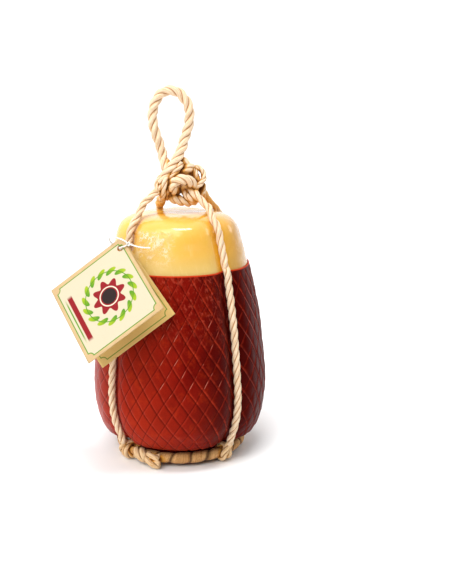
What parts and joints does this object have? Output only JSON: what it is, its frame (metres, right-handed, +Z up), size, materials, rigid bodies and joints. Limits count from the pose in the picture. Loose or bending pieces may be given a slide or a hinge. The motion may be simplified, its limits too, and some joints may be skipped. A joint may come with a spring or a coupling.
{
  "type": "caciocavallo cheese in a rope sling",
  "caption": "Tall round-shouldered stretched-curd cheese in a netted red casing, slung in rope with a knot, a hanging loop and a folded card tag.",
  "frame": {"origin": "centre of the flat foot that the cheese stands on", "axes": "+Z up through the hanging loop, -Y to the front, where the tag hangs, +X to the right seen from the front"},
  "size_m": [0.1637, 0.1533, 0.2861],
  "materials": {
    "cheese": "smooth glossy pale yellow rind",
    "casing": "satin dark red casing pressed into a diamond net",
    "rope": "pale three-strand twisted plant fibre",
    "card": "printed cream card with a tan margin",
    "string": "thin white cotton string"
  },
  "bodies": {
    "root": {"cheese": "cheese", "casing": "casing", "rope_front_left": "rope", "rope_front_right": "rope", "rope_back_right": "rope", "rope_back_left": "rope", "rope_loop": "rope", "rope_knot": "rope", "rope_ring": "rope", "tag": "card", "tag_string": "string"}
  },
  "joints": []
}
